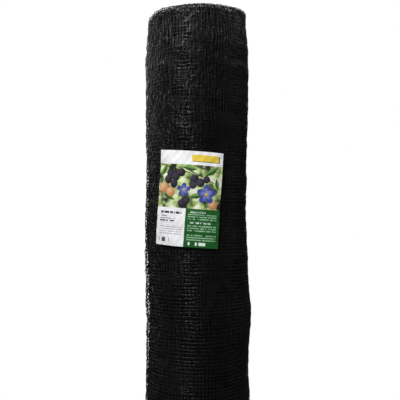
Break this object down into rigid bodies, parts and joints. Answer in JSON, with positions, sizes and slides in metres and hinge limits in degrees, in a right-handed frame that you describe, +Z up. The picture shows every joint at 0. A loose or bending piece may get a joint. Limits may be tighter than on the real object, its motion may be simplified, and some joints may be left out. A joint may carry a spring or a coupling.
{
  "type": "roll of bird netting",
  "caption": "Tall coreless roll of black plastic mesh netting standing upright on its flat lower end, with a printed paper label wrapped round its front.",
  "frame": {"origin": "on the floor plane, under the middle of the part's box", "axes": "+Z up along the roll, -Y towards the front with the label, +X to the right as seen from the front"},
  "size_m": [0.25, 0.2454, 1.0079],
  "materials": {
    "netting": "extruded black polyethylene, slightly glossy strands",
    "paper": "coated printed card"
  },
  "bodies": {
    "root": {"net_roll": "netting", "label": "paper"}
  },
  "joints": []
}
